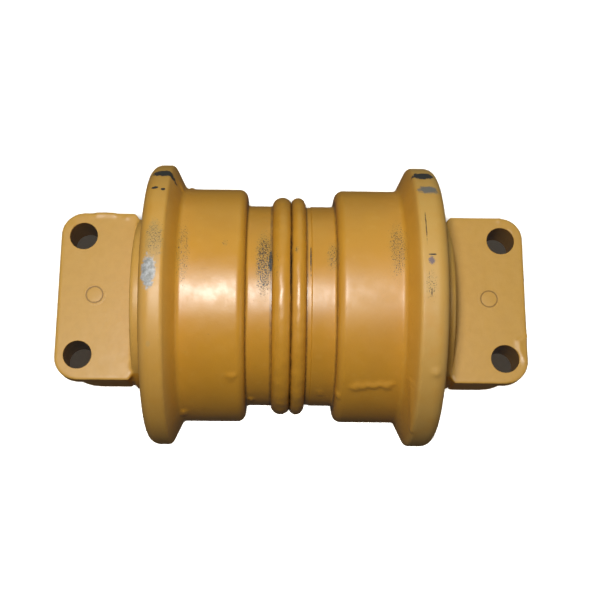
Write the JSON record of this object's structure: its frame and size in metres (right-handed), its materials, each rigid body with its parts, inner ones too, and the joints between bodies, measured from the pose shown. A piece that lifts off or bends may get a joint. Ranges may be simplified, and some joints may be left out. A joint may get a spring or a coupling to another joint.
{
  "type": "track roller",
  "caption": "Flanged roller that carries a crawler track: a welded two-part shell turning on a fixed shaft between two bolted end collars with flat mounting pads.",
  "frame": {"origin": "middle of the spin axis, half way between the two flanges; it is the centre of the bounding box", "axes": "+Y along the spin axis towards the right-hand collar, +Z from the axis towards the mounting pads and the track frame, +X across"},
  "size_m": [0.216, 0.3546, 0.216],
  "materials": {
    "paint": "thick glossy ochre paint over forged steel, with chips, runs and bare worn spots",
    "pad_paint": "satin ochre paint on cast collars with flat machined pads",
    "steel": "ground shaft steel",
    "seal_iron": "lapped cast iron",
    "bronze": "machined bearing bronze",
    "rubber": "smooth nitrile rubber"
  },
  "bodies": {
    "mount": {"shaft": "steel", "collar_left": "pad_paint", "collar_right": "pad_paint", "locking_pin_left": "pad_paint", "locking_pin_right": "pad_paint", "filler_plug": "steel", "collar_o_ring_left": "rubber", "collar_o_ring_right": "rubber", "fixed_seal_ring_left": "seal_iron", "fixed_seal_ring_right": "seal_iron", "fixed_toric_left": "rubber", "fixed_toric_right": "rubber"},
    "shell": {"shell_half_left": "paint", "shell_half_right": "paint", "bush_left": "bronze", "bush_right": "bronze", "turning_seal_ring_left": "seal_iron", "turning_seal_ring_right": "seal_iron", "turning_toric_left": "rubber", "turning_toric_right": "rubber"}
  },
  "joints": [
    {"name": "shell_spin", "type": "hinge", "parent": "mount", "child": "shell", "pos_m": [0, 0, 0], "axis": [0, 1, 0], "continuous": true}
  ]
}
